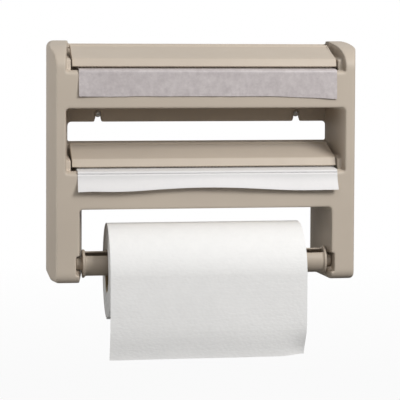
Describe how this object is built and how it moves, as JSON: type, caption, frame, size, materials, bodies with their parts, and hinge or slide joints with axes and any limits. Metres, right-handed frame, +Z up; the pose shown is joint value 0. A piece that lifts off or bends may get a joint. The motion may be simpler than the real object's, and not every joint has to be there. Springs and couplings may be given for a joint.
{
  "type": "cling film dispenser",
  "caption": "Wall-hung kitchen dispenser with two lidded troughs for cling film and baking paper above a slide-out rod that carries a kitchen roll.",
  "frame": {"origin": "on the wall plane at mid width, at the back face of the lower trough's plate", "axes": "+X to the right as the user faces it, +Y into the wall, +Z up"},
  "size_m": [0.3634, 0.1478, 0.3603],
  "materials": {
    "taupe_plastic": "satin moulded plastic",
    "rod_plastic": "satin moulded plastic",
    "cutter_plastic": "fine moulded serration",
    "cling_film": "thin crinkled film with a cloudy sheen",
    "baking_paper": "smooth white paper",
    "kitchen_tissue": "soft embossed tissue",
    "cardboard": "raw cardboard",
    "zinc_steel": "bright zinc plate",
    "nylon": "grey nylon"
  },
  "bodies": {
    "root": {"frame": "taupe_plastic", "wall_screw_left": "zinc_steel", "wall_screw_right": "zinc_steel", "wall_plug_left": "nylon", "wall_plug_right": "nylon"},
    "upper_lid": {"upper_lid": "taupe_plastic", "upper_cutter": "cutter_plastic"},
    "lower_lid": {"lower_lid": "taupe_plastic", "lower_cutter": "cutter_plastic"},
    "film_roll": {"film_core": "cardboard", "film_winding": "cling_film"},
    "film_sheet": {"film_sheet": "cling_film"},
    "baking_roll": {"baking_core": "cardboard", "baking_winding": "baking_paper"},
    "baking_sheet": {"baking_sheet": "baking_paper"},
    "rod": {"rod": "rod_plastic"},
    "kitchen_roll": {"kitchen_core": "cardboard", "kitchen_winding": "kitchen_tissue"},
    "kitchen_sheet": {"kitchen_sheet": "kitchen_tissue"}
  },
  "joints": [
    {"name": "upper_lid_hinge", "type": "hinge", "parent": "root", "child": "upper_lid", "pos_m": [0, -0.017, 0.1289], "axis": [-1, 0, 0], "range_deg": [0, 105]},
    {"name": "lower_lid_hinge", "type": "hinge", "parent": "root", "child": "lower_lid", "pos_m": [0, -0.017, 0.0129], "axis": [-1, 0, 0], "range_deg": [0, 75]},
    {"name": "film_roll_spin", "type": "hinge", "parent": "root", "child": "film_roll", "pos_m": [0, -0.045, 0.0828], "axis": [1, 0, 0], "range_deg": [0, 171.8]},
    {"name": "film_draw", "type": "slide", "parent": "root", "child": "film_sheet", "axis": [0, 0, -1], "range_m": [0, 0.06]},
    {"name": "baking_roll_spin", "type": "hinge", "parent": "root", "child": "baking_roll", "pos_m": [0, -0.045, -0.0292], "axis": [1, 0, 0], "range_deg": [0, 59.6]},
    {"name": "baking_draw", "type": "slide", "parent": "root", "child": "baking_sheet", "axis": [0, 0, -1], "range_m": [0, 0.025]},
    {"name": "rod_slide", "type": "slide", "parent": "root", "child": "rod", "axis": [0, -0.9945, 0.1045], "range_m": [0, 0.045]},
    {"name": "kitchen_roll_spin", "type": "hinge", "parent": "rod", "child": "kitchen_roll", "pos_m": [0, -0.062, -0.13], "axis": [1, 0, 0], "range_deg": [0, 104.1]},
    {"name": "kitchen_draw", "type": "slide", "parent": "rod", "child": "kitchen_sheet", "axis": [0, 0, -1], "range_m": [0, 0.1]}
  ],
  "couplings": [
    {"joint": "film_draw", "follows": "film_roll_spin", "m_per_rad": 0.02},
    {"joint": "baking_draw", "follows": "baking_roll_spin", "m_per_rad": 0.024},
    {"joint": "kitchen_draw", "follows": "kitchen_roll_spin", "m_per_rad": 0.055}
  ]
}
